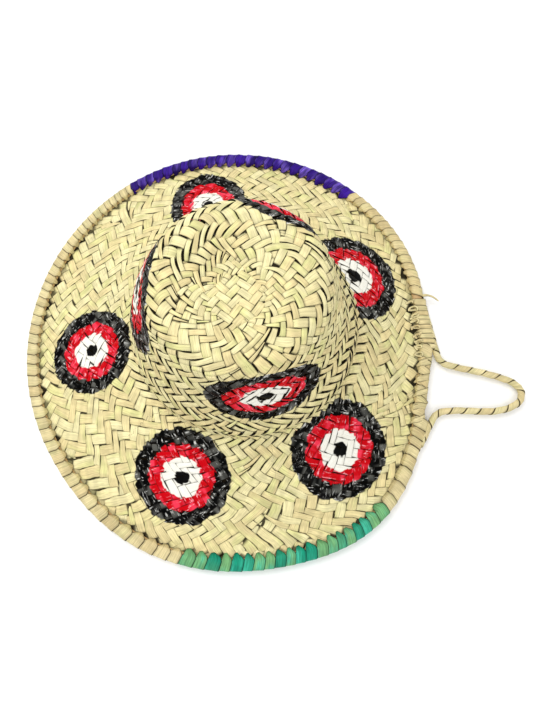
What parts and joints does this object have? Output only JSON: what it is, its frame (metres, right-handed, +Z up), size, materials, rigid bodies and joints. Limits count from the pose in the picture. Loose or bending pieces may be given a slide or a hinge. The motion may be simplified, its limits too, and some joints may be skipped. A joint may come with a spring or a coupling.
{
  "type": "plaited sun hat",
  "caption": "Plaited palm-leaf sun hat with a tapered crown, a sloping brim painted with round eyes, a wrapped rim and a hanging loop.",
  "frame": {"origin": "middle of the head opening, on the crown's axis, level with the lower edge of the crown", "axes": "+Z up through the crown, +X towards the hanging loop; the rim rests at Z = -0.045"},
  "size_m": [0.45, 0.3892, 0.1388],
  "materials": {
    "palm_plait": "plaited dry palm leaf, satin, with glossy enamel eyes in black, red and off-white",
    "palm_binding": "wrapped palm strip, satin",
    "purple_strip": "dyed palm strip, satin",
    "green_strip": "dyed palm strip, satin",
    "palm_rib": "split palm rib, unfinished",
    "palm_cord": "twisted palm fibre"
  },
  "bodies": {
    "hat": {"crown_top": "palm_plait", "crown_wall": "palm_plait", "brim": "palm_plait", "rim_hoop_upper": "palm_rib", "rim_hoop_lower": "palm_rib", "binding_natural_left": "palm_binding", "binding_purple": "purple_strip", "binding_natural_back": "palm_binding", "binding_green": "green_strip", "binding_natural_front": "palm_binding", "binding_natural_gap": "palm_binding", "cord_end_upper": "palm_cord", "cord_end_lower": "palm_cord", "lashing_upper": "palm_binding", "lashing_lower": "palm_binding", "lashing_knots": "palm_binding", "loose_strip_end": "palm_binding"},
    "loop": {"loop_cord": "palm_cord", "loop_wrapping": "palm_binding"}
  },
  "joints": [
    {"name": "loop_flex", "type": "hinge", "parent": "hat", "child": "loop", "pos_m": [0.16558, -0.0463, -0.0398], "axis": [-0.1747, -0.9846, 0], "range_deg": [-35, 80], "stiffness_Nm_per_rad": 0.06}
  ]
}
